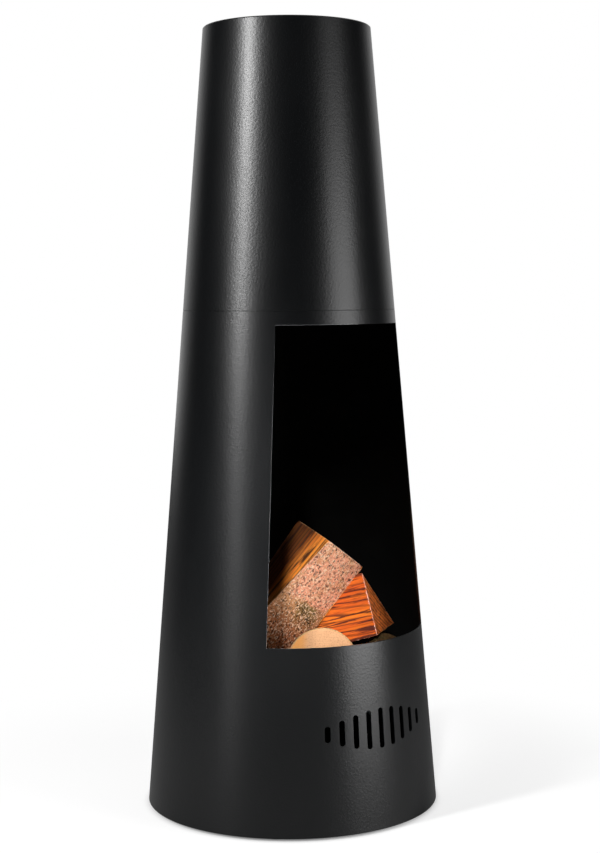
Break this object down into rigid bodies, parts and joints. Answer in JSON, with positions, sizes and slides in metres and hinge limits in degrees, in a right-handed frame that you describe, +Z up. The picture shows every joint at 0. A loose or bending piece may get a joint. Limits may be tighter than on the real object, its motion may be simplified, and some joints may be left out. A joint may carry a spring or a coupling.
{
  "type": "garden stove",
  "caption": "Tall cone-shaped outdoor stove of black sheet steel: open-fronted firebox, lift-off flue section, loose grate, ash pan, levelling feet and firewood.",
  "frame": {"origin": "centre of the base, on the ground", "axes": "+Z up along the cone's axis, -Y out through the middle of the fire opening, +X to the right of someone who faces the opening"},
  "size_m": [0.454, 0.4538, 1.2],
  "materials": {
    "stove_black": "satin heat-resistant black paint with a fine powder texture",
    "sooty_steel": "dull hot-rolled steel darkened by fire",
    "zinc_plate": "zinc-plated fasteners, slightly dull",
    "split_wood": "freshly split orange-brown softwood with dark grain",
    "pale_wood": "pale sawn end grain",
    "bark_wood": "speckled pinkish-grey bark over brown split wood"
  },
  "bodies": {
    "stove": {"firebox_shell": "stove_black", "joint_collar": "sooty_steel", "base_ring": "stove_black", "floor_plate": "sooty_steel", "floor_screws": "zinc_plate", "floor_nuts": "zinc_plate", "foot_nuts": "zinc_plate", "grate_brackets": "stove_black"},
    "flue": {"flue_shell": "stove_black"},
    "grate": {"fire_grate": "sooty_steel", "log_leaning": "bark_wood", "log_across": "split_wood", "log_billet": "pale_wood", "log_branch": "pale_wood"},
    "pan": {"ash_pan": "sooty_steel", "pan_handles": "zinc_plate"},
    "foot_a": {"foot_1": "zinc_plate"},
    "foot_b": {"foot_2": "zinc_plate"},
    "foot_c": {"foot_3": "zinc_plate"},
    "foot_d": {"foot_4": "zinc_plate"}
  },
  "joints": [
    {"name": "flue_lift", "type": "slide", "parent": "stove", "child": "flue", "axis": [0, 0, 1], "range_m": [0, 0.06]},
    {"name": "grate_lift", "type": "slide", "parent": "stove", "child": "grate", "axis": [0, 0, 1], "range_m": [0, 0.05]},
    {"name": "pan_lift", "type": "slide", "parent": "stove", "child": "pan", "axis": [0, 0, 1], "range_m": [0, 0.05]},
    {"name": "foot_a_turn", "type": "hinge", "parent": "stove", "child": "foot_a", "pos_m": [0.14354, 0.14354, 0], "axis": [0, 0, 1], "continuous": true},
    {"name": "foot_b_turn", "type": "hinge", "parent": "stove", "child": "foot_b", "pos_m": [-0.14354, 0.14354, 0], "axis": [0, 0, 1], "continuous": true},
    {"name": "foot_c_turn", "type": "hinge", "parent": "stove", "child": "foot_c", "pos_m": [-0.14354, -0.14354, 0], "axis": [0, 0, 1], "continuous": true},
    {"name": "foot_d_turn", "type": "hinge", "parent": "stove", "child": "foot_d", "pos_m": [0.14354, -0.14354, 0], "axis": [0, 0, 1], "continuous": true}
  ]
}
